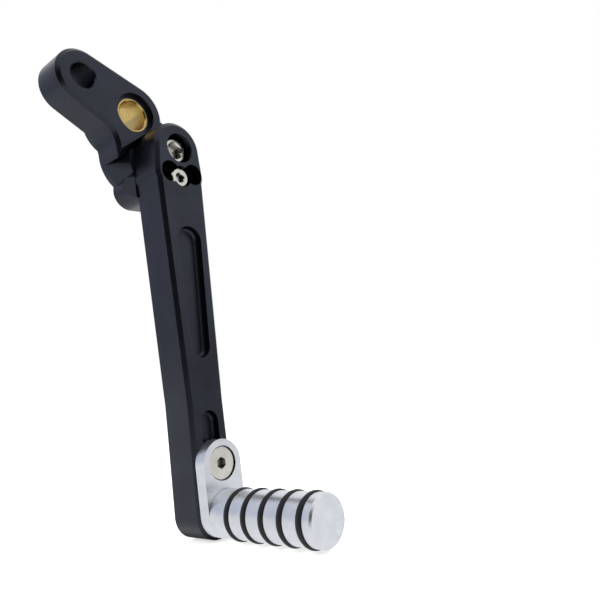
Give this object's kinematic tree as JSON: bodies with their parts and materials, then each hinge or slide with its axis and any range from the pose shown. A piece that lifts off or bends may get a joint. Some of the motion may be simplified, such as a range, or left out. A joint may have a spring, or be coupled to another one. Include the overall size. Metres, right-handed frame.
{
  "type": "motorcycle gear shift lever",
  "caption": "Adjustable motorcycle gear shift lever: a milled hub on a brass pivot bush, a bolted arm with pockets and a turned toe peg with rubber rings.",
  "frame": {"origin": "centre of the pivot bore at the rear face of the hub's round boss", "axes": "+X to the right as the rider's side is looked at, -Y along the pivot bore and the toe peg towards the rider's boot, +Z from the toe peg up along the arm to the hub"},
  "size_m": [0.0563, 0.0863, 0.1941],
  "materials": {
    "black_anodised": "satin black anodised",
    "brass": "machined",
    "bare_aluminium": "satin, turned",
    "stainless_steel": "bright",
    "black_rubber": "matt"
  },
  "bodies": {
    "root": {"hub": "black_anodised", "pivot_bush": "brass", "arm": "black_anodised", "pivot_bolt": "stainless_steel", "lock_bolt": "stainless_steel", "toe_peg": "bare_aluminium", "toe_screw": "stainless_steel", "o_ring_1": "black_rubber", "o_ring_2": "black_rubber", "o_ring_3": "black_rubber", "o_ring_4": "black_rubber", "o_ring_5": "black_rubber"}
  },
  "joints": []
}
